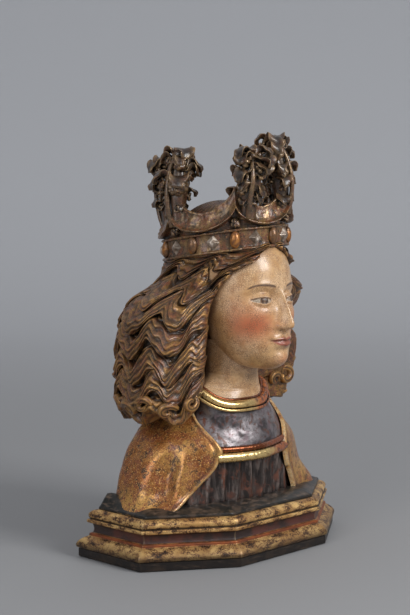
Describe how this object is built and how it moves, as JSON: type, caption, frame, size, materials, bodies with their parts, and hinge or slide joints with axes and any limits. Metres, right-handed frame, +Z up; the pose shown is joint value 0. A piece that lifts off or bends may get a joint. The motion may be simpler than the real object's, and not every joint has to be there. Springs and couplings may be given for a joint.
{
  "type": "carved wooden bust",
  "caption": "Crowned bust with long wavy hair, cloak and pleated dress, carved in wood, gilded and painted, standing on a moulded plinth.",
  "frame": {"origin": "middle of the base board's underside, on the surface the bust stands on", "axes": "+Z up, the shoulders face -Y, and the figure's own left is +X"},
  "size_m": [0.4142, 0.2375, 0.5983],
  "materials": {
    "carved_gilding": "worn gilding over red-brown ground, satin",
    "plinth_gilding": "worn gilding with a red hollow, satin",
    "black_board": "black stain, satin",
    "painted_flesh": "ivory oil paint with fine cracks, gloss",
    "silvered_dress": "darkened silver leaf with red worn patches, satin",
    "band_stones": "carved stones, glazed silver and gold, satin"
  },
  "bodies": {
    "root": {"bust": "carved_gilding", "plinth": "plinth_gilding", "base_board": "black_board"}
  },
  "joints": []
}
